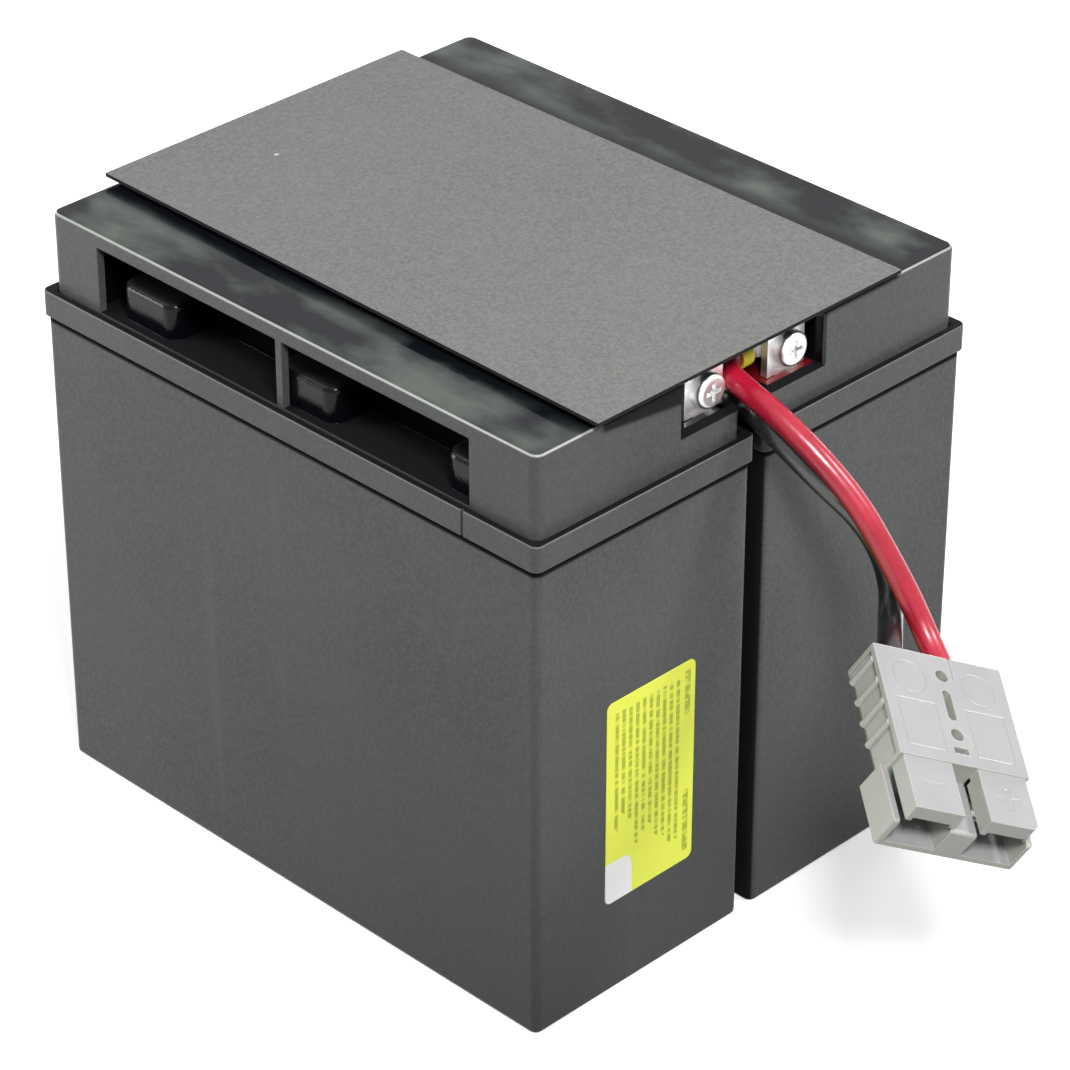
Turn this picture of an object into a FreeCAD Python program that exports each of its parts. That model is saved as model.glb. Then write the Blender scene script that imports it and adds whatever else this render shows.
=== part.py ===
import FreeCAD, Part
import math
import os

from FreeCAD import Placement, Rotation, Vector

# UPS battery cartridge: two 12 V sealed lead-acid batteries stand side by side, joined in
# series, under one stiff plastic sheet. A red and a black cable end in a grey two-pole
# genderless power connector. Millimetres, +Z up. X runs along the batteries' length and +X
# is the cable end. The origin is under the middle of the pair, at the height they stand on.

# ---- batteries, outside -------------------------------------------------------------
battery_length = 181.0      # over the lid flange, along X
battery_width = 76.0        # over the lid flange, along Y
battery_height = 167.0
battery_gap = 3.2           # between the two lid flanges
flange_below_top = 29.8     # flange's lower edge below the battery's top
flange_height = 7.2
flange_corner_radius = 2.2
flange_edge_radius = 0.6
flange_mark_width = 0.8     # upright groove in the flange, under the windows' +X end
flange_mark_depth = 0.7
container_inset = 0.8       # container wall behind the flange face
container_corner_radius = 2.2
lid_inset = 2.6             # lid side behind the flange face
lid_corner_radius = 2.8
lid_edge_radius = 1.0
lid_groove_width = 0.8      # groove in the flange round the foot of the lid
lid_groove_depth = 1.0
base_edge_radius = 1.2

# ---- container ------------------------------------------------------------------------
container_wall = 2.7
container_floor = 3.0
rim_engagement = 3.8        # rim inside the flange
rim_step = 1.5              # how far the rim steps in to seat the flange
rim_clearance = 0.1
flange_seat_gap = 1.2       # groove left under the flange
cell_count = 6
partition_thickness = 1.8

# ---- plates, separators and straps -------------------------------------------------
positive_plate_thickness = 2.4
negative_plate_thickness = 1.5
positive_plates_per_cell = 5
plate_bottom = 4.5
cell_side_gap = 0.5         # between the layers and the cell's walls
separator_overlap = 1.5     # separator past the plate, at the top and each side
plate_tab_width = 11.0
plate_tab_height = 7.0
tab_from_plate_edge = 13.5
strap_width = 13.0
strap_thickness = 6.0
strap_end_gap = 1.0         # between a strap and the cell's end walls
headroom = 10.5             # between the straps and the rim
weld_diameter = 5.6         # lead joint through each partition
weld_clearance = 0.1

# ---- lid inside ---------------------------------------------------------------------
lid_deck_rise = 2.1         # deck over the cells, above the flange
lid_outer_wall = 2.4        # wall round the side windows
window_start_margin = 18.2  # lid's -X end face to the side windows
window_end_margin = 22.4    # side windows to the lid's +X end face
window_rib_centre = -1.2
window_rib_width = 2.2
window_top_margin = 4.0
recess_depth = 15.0         # finger recess behind the windows
recess_end_margin = 2.0     # recess past the windows at each end
recess_boss_count = 3
recess_boss_width = 21.0
recess_boss_first = 15.4    # windows' start to the middle of the first boss
recess_boss_last = 1.0      # middle of the last boss before the windows' end
recess_boss_setback = 2.6   # boss face behind the lid's side
recess_boss_height = 10.2
recess_boss_radius = 4.0
recess_boss_brow = 2.0

# ---- valves under the vent cover -------------------------------------------------------
vent_cover_end_margin = 4.9
vent_cover_width = 17.0
vent_cover_wall = 3.1       # lid's strip between the cover and the terminal pockets
vent_cover_thickness = 3.4
vent_cover_clearance = 0.1
valve_well_radius = 6.6
chimney_radius = 4.0
chimney_bore = 4.6
chimney_height = 9.5
valve_cap_wall = 1.2
valve_cap_clearance = 0.15
valve_cap_height = 8.0
valve_stop_diameter = 4.0
valve_stop_gap = 0.3

# ---- terminal pockets and terminals ----------------------------------------------------
pocket_length = 26.0        # from the lid's end face inward
pocket_width = 21.8         # from the lid's seam side outward
pocket_depth = 15.5
notch_half_width = 8.0      # cable notch on both sides of the seam, behind the pocket's lip
lip_thickness = 3.4
well_depth = 4.5            # resin well round the terminal
well_length = 14.6
well_margin = 0.6
flag_width = 13.4
flag_thickness = 2.1
flag_below_top = 3.4        # flag's top below the battery's top
flag_face_setback = 8.0     # flag's outer face behind the flange face
flag_floor_gap = 0.2
flag_chamfer = 1.0
flag_stem_width = 7.4
foot_length = 9.0
foot_thickness = 2.0
foot_gap = 0.3
post_setback = 13.0         # lead post behind the flange face
post_diameter = 6.6
post_pin_diameter = 4.4
post_pin_rise = 0.5
post_clearance = 0.1
bolt_above_floor = 6.9
positive_bolt_inset = 15.6  # bolt axis from the flange's seam face
negative_bolt_inset = 10.8

# ---- terminal fasteners ----------------------------------------------------------------
bolt_diameter = 5.0
bolt_clearance = 0.15
bolt_length = 12.0
bolt_head_diameter = 9.5
bolt_head_height = 3.3
cross_recess_length = 5.0
cross_recess_width = 1.1
cross_recess_depth = 1.5
washer_diameter = 10.0
washer_thickness = 1.0
nut_across_flats = 8.0
nut_height = 4.0

# ---- cable lugs ----------------------------------------------------------------------
lug_ring_diameter = 9.5
lug_thickness = 1.0
lug_barrel_diameter = 5.4
lug_barrel_bore = 4.2
lug_barrel_start = 5.6      # from the bolt axis
lug_tail_width = 3.4
lug_axis_drop = 3.3         # barrel axis behind the tongue's middle
red_lug_reach = 9.8         # bolt axis to the end of the barrel
black_lug_reach = 8.6
red_lug_tilt = 1.5          # barrel below level, degrees
black_lug_tilt = 35.0
sleeve_start = 9.0
sleeve_end = 12.8
sleeve_diameter = 7.6

# ---- series link at the closed end ---------------------------------------------------
link_width = 11.0
link_thickness = 2.0
link_end_clearance = 0.1
link_sleeve_wall = 0.6
link_sleeve_length = 11.0

# ---- top sheet and adhesive foam ----------------------------------------------------------
sheet_thickness = 1.0
sheet_lift = 2.0            # thickness of the foam under the sheet
sheet_start_inset = 1.1     # sheet's -X end inside the battery's end; +X ends are level
sheet_near_side = 55.0      # near long edge at the closed end, from the seam
sheet_far_side = 50.4
sheet_skew = 2.2            # how much further out the near edge is at the cable end
tape_end_margin = 2.0       # tape's end to the terminal pocket
tape_width = 13.0
tape_from_seam = 31.0
pad_length = 52.0
pad_end_margin = 19.7
pad_bottom = 22.0
pad_top_margin = 19.2       # pad's top to the flange

# ---- end label ------------------------------------------------------------------------
label_width = 31.4
label_height = 60.4
label_thickness = 0.2
label_corner_radius = 2.0
label_bottom = 27.7
label_from_seam = 21.0

# ---- connector ------------------------------------------------------------------------
housing_length = 47.8
housing_width = 36.5
housing_thickness = 16.0
body_length = 32.6
pole_pitch = 15.8
cable_bore = 7.6
contact_bore_depth = 18.0
contact_channel_width = 8.6
contact_channel_height = 8.0
hood_inner_edge = 3.7
hood_outer_edge = 17.3
hood_height = 5.7           # with the tabs at its lower corners
hood_top_wall = 4.1
hood_side_wall = 1.5
hood_step = 0.4             # hood roof below the body's top face
hood_corner_radius = 2.2    # positive hood's outer front corner
tray_height = 9.4
tray_floor = 1.6
tray_side_wall = 1.7
tray_overhang = 1.35        # tray's sides outside the top plate's edges
tray_corner_radius = 1.0
top_plate_thickness = 1.6
end_lip = 1.2               # full-width lips at the body's two ends
grip_depth = 1.0            # body's sides behind the top plate's edges
grip_height = 11.6          # upright part of the body's sides, from the top face down
keel_half_width = 14.0      # body's flat underside, between its sloping lower sides
grip_rib_count = 4
grip_rib_pitch = 6.25
grip_rib_first = 3.5
grip_rib_radius = 1.0
grip_rib_setback = 0.6      # rib's axis behind the top plate's edge
key_hole_diameter = 3.5
key_hole_positions = (6.0, 23.6)
key_slot_centre = 14.8
key_slot_length = 9.0
key_slot_width = 2.4
key_notch_centre = 28.4
key_notch_size = (1.8, 4.2)
key_notch_depth = 2.2
key_groove_length = 6.8     # shallow groove from the cable face
key_groove_offset = 3.2
key_groove_width = 0.6
key_groove_depth = 0.35
contact_barrel_diameter = 7.0
contact_barrel_bore = 4.4
contact_start = 3.0
contact_barrel_length = 13.5
contact_tongue_width = 7.4
contact_tongue_thickness = 1.8
contact_tongue_setback = 7.8    # tongue's tip inside the housing's mouth
contact_hook_rise = 1.2
contact_hook_length = 3.0
spring_width = 6.0
spring_thickness = 0.6
spring_start = 19.5
spring_end = 39.5
spring_rise = 2.4
spring_foot = 3.0           # flat foot of the spring
spring_tip_rise = 1.0
connector_hang = Vector(57.7, -5.3, -64.7)    # middle of its cable face, from the lid's top end
connector_yaw = -35.7       # mating direction, turned from +X about Z
connector_pitch = 19.0      # mating end down
connector_roll = 25.3       # positive side down

# ---- cables -----------------------------------------------------------------------------
cable_diameter = 6.2
entry_run = 3.0             # cable in line with its pole outside the connector
red_first_run = 5.7         # short runs from the lugs towards the seam
black_first_run = 3.1
black_second_run = 5.2

# ---- worked out -------------------------------------------------------------------------
half_length = battery_length / 2
half_width = battery_width / 2
hang_point = Vector(half_length, 0, battery_height)     # cables and connector hang from here
flange_bottom = battery_height - flange_below_top
flange_top = flange_bottom + flange_height
rim_height = flange_bottom + rim_engagement
lid_deck_top = flange_top + lid_deck_rise
chimney_top = lid_deck_top + chimney_height
window_top = battery_height - window_top_margin
recess_boss_top = flange_top + recess_boss_height
pocket_floor = battery_height - pocket_depth
well_floor = pocket_floor - well_depth
flag_top = battery_height - flag_below_top
bolt_height = pocket_floor + bolt_above_floor
seam_offset = (battery_width + battery_gap) / 2     # battery middle from the seam
lid_half_length = half_length - lid_inset
lid_half_width = half_width - lid_inset
case_half_length = half_length - container_inset
case_half_width = half_width - container_inset
cell_inner_length = (
    2 * (case_half_length - container_wall) - (cell_count - 1) * partition_thickness
) / cell_count
cell_pitch = cell_inner_length + partition_thickness
cell_inner_width = 2 * (case_half_width - container_wall)
plate_width = cell_inner_width - 2 * (cell_side_gap + separator_overlap)
tab_offset = plate_width / 2 - tab_from_plate_edge      # from the battery's middle
separator_thickness = (
    cell_inner_length - 2 * cell_side_gap
    - positive_plates_per_cell * positive_plate_thickness
    - (positive_plates_per_cell + 1) * negative_plate_thickness
) / (2 * positive_plates_per_cell)
strap_bottom = rim_height - headroom - strap_thickness
strap_middle = strap_bottom + strap_thickness / 2
plate_top = strap_bottom - plate_tab_height
window_start = -lid_half_length + window_start_margin
window_end = lid_half_length - window_end_margin
vent_cover_length = 2 * (lid_half_length - vent_cover_end_margin)
vent_line = lid_half_width - pocket_width - vent_cover_wall - vent_cover_width / 2
flag_face = half_length - flag_face_setback
lug_face = flag_face - flag_thickness
lug_axis_x = lug_face - lug_thickness / 2 - lug_axis_drop
foot_bottom = well_floor + foot_gap
post_x = half_length - post_setback
positive_bolt_y = half_width - positive_bolt_inset
negative_bolt_y = half_width - negative_bolt_inset
sheet_bottom = battery_height + sheet_lift
sheet_start = -half_length + sheet_start_inset
tape_length = 2 * (lid_half_length - pocket_length - tape_end_margin)
pad_height = flange_bottom - pad_bottom - pad_top_margin
pad_pitch = 2 * (case_half_length - pad_end_margin) - pad_length
contact_tongue_end = housing_length - contact_tongue_setback


# ---- small helpers ----------------------------------------------------------------------
def block(x0, x1, y0, y1, z0, z1):
    """Box between two corners."""
    return Part.makeBox(x1 - x0, y1 - y0, z1 - z0, Vector(x0, y0, z0))


def centred_block(length, width, z0, z1, x=0.0, y=0.0):
    """Box centred on x, y."""
    return block(x - length / 2, x + length / 2, y - width / 2, y + width / 2, z0, z1)


def rounded_block(length, width, z0, z1, radius, x=0.0, y=0.0):
    """Box centred on x, y with its upright edges rounded."""
    solid = centred_block(length, width, z0, z1, x, y)
    upright = [e for e in solid.Edges if abs(e.tangentAt(e.FirstParameter).z) > 0.9]
    return solid.makeFillet(radius, upright)


def edges_at_height(solid, height):
    """Edges that lie wholly at one height."""
    return [
        e for e in solid.Edges
        if abs(e.BoundBox.ZMin - height) < 1e-3 and abs(e.BoundBox.ZMax - height) < 1e-3
    ]


def rod(radius, start, end):
    """Cylinder from one point to another."""
    along = end - start
    return Part.makeCylinder(radius, along.Length, start, along)


def ring(outer_radius, inner_radius, start, end):
    """Tube from one point to another."""
    return rod(outer_radius, start, end).cut(rod(inner_radius, start, end))


def prism(points, depth):
    """Straight prism on a flat polygon."""
    return Part.Face(Part.makePolygon(points + points[:1])).extrude(depth)


def fused(solids):
    """One solid from several that overlap."""
    return solids[0].multiFuse(solids[1:]).removeSplitter()


def in_place(shape, turned):
    """Puts a battery's own shape at its side of the seam; the far one is turned half round."""
    placed = shape.copy()
    if turned:
        placed.rotate(Vector(0, 0, 0), Vector(0, 0, 1), 180)
    placed.translate(Vector(0, seam_offset if turned else -seam_offset, 0))
    return placed


def cell_middles():
    """Middle of each cell along the battery."""
    first = -(cell_count - 1) / 2 * cell_pitch
    return [first + index * cell_pitch for index in range(cell_count)]


def positive_side(index):
    """Side, across the battery, of a cell's positive tabs: it alternates."""
    return 1 if index % 2 == 0 else -1


# ---- container ------------------------------------------------------------------------
def container():
    """Open moulded case with six cells and a stepped rim."""
    length = 2 * case_half_length
    width = 2 * case_half_width
    shoulder = flange_bottom - flange_seat_gap
    body = rounded_block(length, width, 0, shoulder, container_corner_radius)
    body = body.makeFillet(base_edge_radius, edges_at_height(body, 0))
    rim = rounded_block(
        length - 2 * rim_step, width - 2 * rim_step, shoulder - 1, rim_height,
        container_corner_radius - rim_step,
    )
    case = body.fuse(rim).removeSplitter()
    cells = [
        centred_block(cell_inner_length, cell_inner_width, container_floor, rim_height + 1, x)
        for x in cell_middles()
    ]
    welds = []
    for index in range(cell_count - 1):
        side = -positive_side(index)
        wall = cell_middles()[index] + cell_pitch / 2
        start = Vector(wall - partition_thickness, side * tab_offset, strap_middle)
        end = Vector(wall + partition_thickness, side * tab_offset, strap_middle)
        welds.append(rod(weld_diameter / 2 + weld_clearance, start, end))
    return case.cut(cells + welds)


# ---- plates ---------------------------------------------------------------------------
def plate_places():
    """Start and kind of each layer in a cell, from its -X face: plates and separators."""
    layers = []
    at = -cell_inner_length / 2 + cell_side_gap
    for index in range(2 * positive_plates_per_cell + 1):
        if index % 2:
            layers.append(("positive", at, positive_plate_thickness))
            at += positive_plate_thickness
        else:
            layers.append(("negative", at, negative_plate_thickness))
            at += negative_plate_thickness
        if index < 2 * positive_plates_per_cell:
            layers.append(("separator", at, separator_thickness))
            at += separator_thickness
    return layers


def plates(kind):
    """All plates of one kind in a battery, each with its tab."""
    solids = []
    for index, middle in enumerate(cell_middles()):
        side = positive_side(index) if kind == "positive" else -positive_side(index)
        tab_y = side * tab_offset
        for layer, at, thickness in plate_places():
            if layer != kind:
                continue
            x0 = middle + at
            x1 = x0 + thickness
            half_plate = plate_width / 2
            half_tab = plate_tab_width / 2
            outline = [
                Vector(x0, -half_plate, plate_bottom),
                Vector(x0, half_plate, plate_bottom),
                Vector(x0, half_plate, plate_top),
                Vector(x0, tab_y + half_tab, plate_top),
                Vector(x0, tab_y + half_tab, strap_bottom),
                Vector(x0, tab_y - half_tab, strap_bottom),
                Vector(x0, tab_y - half_tab, plate_top),
                Vector(x0, -half_plate, plate_top),
            ]
            solids.append(prism(outline, Vector(x1 - x0, 0, 0)))
    return Part.makeCompound(solids)


def separators():
    """Glass mats between the plates."""
    solids = []
    half = plate_width / 2 + separator_overlap
    for middle in cell_middles():
        for layer, at, thickness in plate_places():
            if layer == "separator":
                solids.append(block(
                    middle + at, middle + at + thickness, -half, half,
                    plate_bottom, plate_top + separator_overlap,
                ))
    return Part.makeCompound(solids)


def strap(middle, side):
    """Cast lead bar over the tabs of one cell's plates of one kind."""
    return centred_block(
        cell_inner_length - 2 * strap_end_gap, strap_width,
        strap_bottom, strap_bottom + strap_thickness, middle, side * tab_offset,
    )


def cell_straps():
    """Straps joined through the partitions, and the two end straps with their posts."""
    middles = cell_middles()
    solids = []
    for index in range(cell_count - 1):
        side = -positive_side(index)
        start = Vector(middles[index], side * tab_offset, strap_middle)
        end = Vector(middles[index + 1], side * tab_offset, strap_middle)
        weld = rod(weld_diameter / 2, start, end)
        weld = weld.common(centred_block(
            partition_thickness + 4, strap_width, 0, battery_height,
            middles[index] + cell_pitch / 2, side * tab_offset,
        ))
        solids.append(fused([strap(middles[index], side), strap(middles[index + 1], side), weld]))
    for end, bolt_y in ((-1, positive_bolt_y), (1, negative_bolt_y)):
        middle = middles[0] if end < 0 else middles[-1]
        bar = strap(middle, 1)
        post_base = Vector(end * post_x, bolt_y, strap_bottom + 1)
        shoulder = Vector(end * post_x, bolt_y, foot_bottom)
        tip = Vector(end * post_x, bolt_y, foot_bottom + foot_thickness + post_pin_rise)
        post = rod(post_diameter / 2, post_base, shoulder)
        pin = rod(post_pin_diameter / 2, shoulder - Vector(0, 0, 1), tip)
        arm = centred_block(
            post_diameter, abs(bolt_y - tab_offset) + strap_width / 2,
            strap_bottom, strap_bottom + strap_thickness,
            end * post_x, (bolt_y + tab_offset) / 2,
        )
        solids.append(fused([bar, arm, post, pin]))
    return Part.makeCompound(solids)


# ---- terminals ------------------------------------------------------------------------
def terminal(end, bolt_y):
    """Tinned flag with a bolt hole, a stem and a foot that the lead post is soldered to."""
    x_out = end * flag_face
    x_in = end * (flag_face - flag_thickness)
    half = flag_width / 2
    stem = flag_stem_width / 2
    low = pocket_floor + flag_floor_gap
    outline = [
        Vector(x_in, bolt_y - half, low),
        Vector(x_in, bolt_y - stem, low),
        Vector(x_in, bolt_y - stem, foot_bottom),
        Vector(x_in, bolt_y + stem, foot_bottom),
        Vector(x_in, bolt_y + stem, low),
        Vector(x_in, bolt_y + half, low),
        Vector(x_in, bolt_y + half, flag_top - flag_chamfer),
        Vector(x_in, bolt_y + half - flag_chamfer, flag_top),
        Vector(x_in, bolt_y - half + flag_chamfer, flag_top),
        Vector(x_in, bolt_y - half, flag_top - flag_chamfer),
    ]
    flag = prism(outline, Vector(x_out - x_in, 0, 0))
    foot_inner = end * (flag_face - foot_length)
    foot = block(
        min(x_out, foot_inner), max(x_out, foot_inner), bolt_y - stem, bolt_y + stem,
        foot_bottom, foot_bottom + foot_thickness,
    )
    hole = rod(
        bolt_diameter / 2 + bolt_clearance,
        Vector(x_in - end, bolt_y, bolt_height), Vector(x_out + end, bolt_y, bolt_height),
    )
    pin_hole = rod(
        post_pin_diameter / 2 + post_clearance,
        Vector(end * post_x, bolt_y, foot_bottom - 1),
        Vector(end * post_x, bolt_y, foot_bottom + foot_thickness + 1),
    )
    return flag.fuse(foot).removeSplitter().cut([hole, pin_hole])


def resin_space(end):
    """Space of the resin well in one pocket."""
    outer = lid_half_length - lip_thickness
    inner = outer - well_length
    side_wall = lid_half_width - pocket_width
    seam_wall = seam_offset - notch_half_width
    return block(
        min(end * outer, end * inner), max(end * outer, end * inner),
        side_wall + well_margin, seam_wall - well_margin, well_floor, pocket_floor,
    )


def resin(end, bolt_y, metal):
    """Resin poured round the terminal's stem and foot."""
    post_space = rod(
        post_diameter / 2,
        Vector(end * post_x, bolt_y, well_floor - 1), Vector(end * post_x, bolt_y, foot_bottom),
    )
    pin_space = rod(
        post_pin_diameter / 2 + post_clearance,
        Vector(end * post_x, bolt_y, foot_bottom),
        Vector(end * post_x, bolt_y, foot_bottom + foot_thickness + post_pin_rise),
    )
    poured = resin_space(end).cut([metal, post_space, pin_space])
    return max(poured.Solids, key=lambda solid: solid.Volume)


# ---- lid ------------------------------------------------------------------------------
def window_spaces():
    """Finger recess and the two windows that open into it."""
    side = -lid_half_width
    recess = block(
        window_start - recess_end_margin, window_end + recess_end_margin,
        side + lid_outer_wall, side + recess_depth, flange_top, window_top,
    )
    rib_start = window_rib_centre - window_rib_width / 2
    rib_end = window_rib_centre + window_rib_width / 2
    windows = [
        block(x0, x1, side - 1, side + lid_outer_wall + 1, flange_top, window_top)
        for x0, x1 in ((window_start, rib_start), (rib_end, window_end))
    ]
    return [recess] + windows


def recess_bosses():
    """Rounded bosses that stand in the finger recess."""
    side = -lid_half_width
    bosses = []
    first = window_start + recess_boss_first
    pitch = (window_end - recess_boss_last - first) / (recess_boss_count - 1)
    for index in range(recess_boss_count):
        middle = first + index * pitch
        end = min(middle + recess_boss_width / 2, window_end + recess_end_margin)
        start = middle - recess_boss_width / 2
        front = side + recess_boss_setback
        boss = block(start, end, front, side + recess_depth + 1, flange_top, recess_boss_top)
        corners = [
            e for e in boss.Edges
            if abs(e.tangentAt(e.FirstParameter).z) > 0.9
            and abs(e.BoundBox.YMin - front) < 1e-3
        ]
        boss = boss.makeFillet(recess_boss_radius, corners)
        brow = [
            e for e in edges_at_height(boss, recess_boss_top)
            if e.BoundBox.YMax < side + recess_depth
        ]
        bosses.append(boss.makeFillet(recess_boss_brow, brow))
    return bosses


def pocket_spaces(end):
    """Terminal pocket, its resin well and the cable notch beside the seam."""
    outer = lid_half_length + 1
    inner = lid_half_length - pocket_length
    side_wall = lid_half_width - pocket_width
    seam_wall = seam_offset - notch_half_width
    notch_outer = lid_half_length - lip_thickness
    pocket = block(
        min(end * inner, end * outer), max(end * inner, end * outer),
        side_wall, lid_half_width + 1, pocket_floor, battery_height + 1,
    )
    notch = block(
        min(end * inner, end * notch_outer), max(end * inner, end * notch_outer),
        seam_wall, lid_half_width + 1, flange_top, pocket_floor + 1,
    )
    bolt_y = positive_bolt_y if end < 0 else negative_bolt_y
    post_hole = rod(
        post_diameter / 2 + post_clearance,
        Vector(end * post_x, bolt_y, rim_height - 1), Vector(end * post_x, bolt_y, well_floor + 1),
    )
    return [pocket, notch, resin_space(end), post_hole]


def flange_grooves():
    """Groove in the flange round the foot of the lid, and an upright one in its outer side."""
    foot = rounded_block(
        2 * (lid_half_length + lid_groove_width), 2 * (lid_half_width + lid_groove_width),
        flange_top - lid_groove_depth, flange_top + 1, lid_corner_radius + lid_groove_width,
    )
    kept = rounded_block(
        2 * lid_half_length, 2 * lid_half_width,
        flange_top - lid_groove_depth, flange_top + 1, lid_corner_radius,
    )
    mark = centred_block(
        flange_mark_width, 2 * flange_mark_depth, flange_bottom - 1, flange_top + 1,
        window_end, -half_width,
    )
    return [foot.cut(kept), mark]


def vent_spaces():
    """Recess for the vent cover, and a well with a chimney for each valve."""
    cover_floor = battery_height - vent_cover_thickness - vent_cover_clearance
    spaces = [centred_block(
        vent_cover_length, vent_cover_width, cover_floor, battery_height + 1, 0, vent_line,
    )]
    for x in cell_middles():
        base = Vector(x, vent_line, lid_deck_top)
        well = rod(valve_well_radius, base, Vector(x, vent_line, cover_floor + 1))
        chimney = rod(chimney_radius, base - Vector(0, 0, 1), Vector(x, vent_line, chimney_top))
        bore = rod(
            chimney_bore / 2, Vector(x, vent_line, rim_height - 1),
            Vector(x, vent_line, chimney_top + 1),
        )
        spaces.append(well.cut(chimney))
        spaces.append(bore)
    return spaces


def lid():
    """Moulded lid with its flange, finger recess, valve wells and terminal pockets."""
    flange = rounded_block(
        battery_length, battery_width, flange_bottom, flange_top, flange_corner_radius,
    )
    flange = flange.makeFillet(flange_edge_radius, edges_at_height(flange, flange_top))
    upper = rounded_block(
        2 * lid_half_length, 2 * lid_half_width, flange_top - 1, battery_height, lid_corner_radius,
    )
    upper = upper.makeFillet(lid_edge_radius, edges_at_height(upper, battery_height))
    rim_space = rounded_block(
        2 * (case_half_length - rim_step + rim_clearance),
        2 * (case_half_width - rim_step + rim_clearance),
        flange_bottom - 1, rim_height, container_corner_radius - rim_step,
    )
    spaces = window_spaces() + pocket_spaces(-1) + pocket_spaces(1)
    spaces += vent_spaces() + flange_grooves()
    body = flange.fuse(upper).removeSplitter().cut([rim_space] + spaces)
    return body.fuse(recess_bosses()).removeSplitter()


def vent_cover():
    """Flat cover with a stop over each valve."""
    top = battery_height - vent_cover_clearance
    bottom = top - vent_cover_thickness + vent_cover_clearance
    plate = centred_block(
        vent_cover_length - 2 * vent_cover_clearance,
        vent_cover_width - 2 * vent_cover_clearance, bottom, top, 0, vent_line,
    )
    cap_top = chimney_top + valve_cap_clearance + valve_cap_wall
    stops = [
        rod(
            valve_stop_diameter / 2, Vector(x, vent_line, cap_top + valve_stop_gap),
            Vector(x, vent_line, bottom + 1),
        )
        for x in cell_middles()
    ]
    return fused([plate] + stops)


def valves():
    """Rubber caps over the chimneys."""
    caps = []
    inner = chimney_radius + valve_cap_clearance
    top = chimney_top + valve_cap_clearance + valve_cap_wall
    for x in cell_middles():
        shell = rod(
            inner + valve_cap_wall, Vector(x, vent_line, top - valve_cap_height),
            Vector(x, vent_line, top),
        )
        hollow = rod(
            inner, Vector(x, vent_line, top - valve_cap_height - 1),
            Vector(x, vent_line, top - valve_cap_wall),
        )
        caps.append(shell.cut(hollow))
    return Part.makeCompound(caps)


# ---- fasteners --------------------------------------------------------------------------
def terminal_points():
    """Each terminal of the pair: end, world Y of its bolt."""
    near_negative = -seam_offset + negative_bolt_y
    near_positive = -seam_offset + positive_bolt_y
    return {
        "near_negative": (1, near_negative),
        "far_positive": (1, -near_positive),
        "near_positive": (-1, near_positive),
        "far_negative": (-1, -near_negative),
    }


def along(end, y, start, stop):
    """Two points on a bolt's axis, from distances along the battery."""
    return Vector(end * start, y, bolt_height), Vector(end * stop, y, bolt_height)


def screw(end, y):
    """Pan head screw with a cross recess."""
    head = rod(bolt_head_diameter / 2, *along(end, y, flag_face, flag_face + bolt_head_height))
    rim = [
        e for e in head.Edges
        if abs(abs(e.BoundBox.Center.x) - flag_face - bolt_head_height) < 1e-3
    ]
    head = head.makeFillet(1.2, rim)
    shank = rod(bolt_diameter / 2, *along(end, y, flag_face - bolt_length, flag_face + 1))
    face = flag_face + bolt_head_height
    middle = end * (face - cross_recess_depth / 2)
    arms = []
    for across, upright in (
        (cross_recess_length, cross_recess_width), (cross_recess_width, cross_recess_length),
    ):
        arms.append(block(
            middle - cross_recess_depth / 2 - 0.01, middle + cross_recess_depth / 2 + 0.01,
            y - across / 2, y + across / 2,
            bolt_height - upright / 2, bolt_height + upright / 2,
        ))
    return head.fuse(shank).removeSplitter().cut(arms)


def stack_behind(end):
    """Thickness of what is clamped behind the flag at each end."""
    return lug_thickness if end > 0 else link_thickness


def washer(end, y):
    """Plain washer on what is clamped behind the flag."""
    face = lug_face - stack_behind(end)
    return ring(
        washer_diameter / 2, bolt_diameter / 2 + bolt_clearance,
        *along(end, y, face - washer_thickness, face),
    )


def nut(end, y):
    """Hexagon nut behind the washer."""
    face = lug_face - stack_behind(end) - washer_thickness
    corner = nut_across_flats / math.sqrt(3)
    points = [
        Vector(
            end * (face - nut_height), y + corner * math.cos(math.radians(60 * index + 30)),
            bolt_height + corner * math.sin(math.radians(60 * index + 30)),
        )
        for index in range(6)
    ]
    body = prism(points, Vector(end * nut_height, 0, 0))
    return body.cut(rod(
        bolt_diameter / 2 + bolt_clearance, *along(end, y, face - nut_height - 1, face + 1),
    ))


# ---- lugs -----------------------------------------------------------------------------
def lug_direction(towards, tilt):
    """Direction of a lug's barrel from its bolt: across the battery and down."""
    angle = math.radians(tilt)
    return Vector(0, towards * math.cos(angle), -math.sin(angle))


def lug_point(y, direction, reach):
    """Point on a lug's barrel axis."""
    return Vector(lug_axis_x, y, bolt_height) + direction * reach


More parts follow.
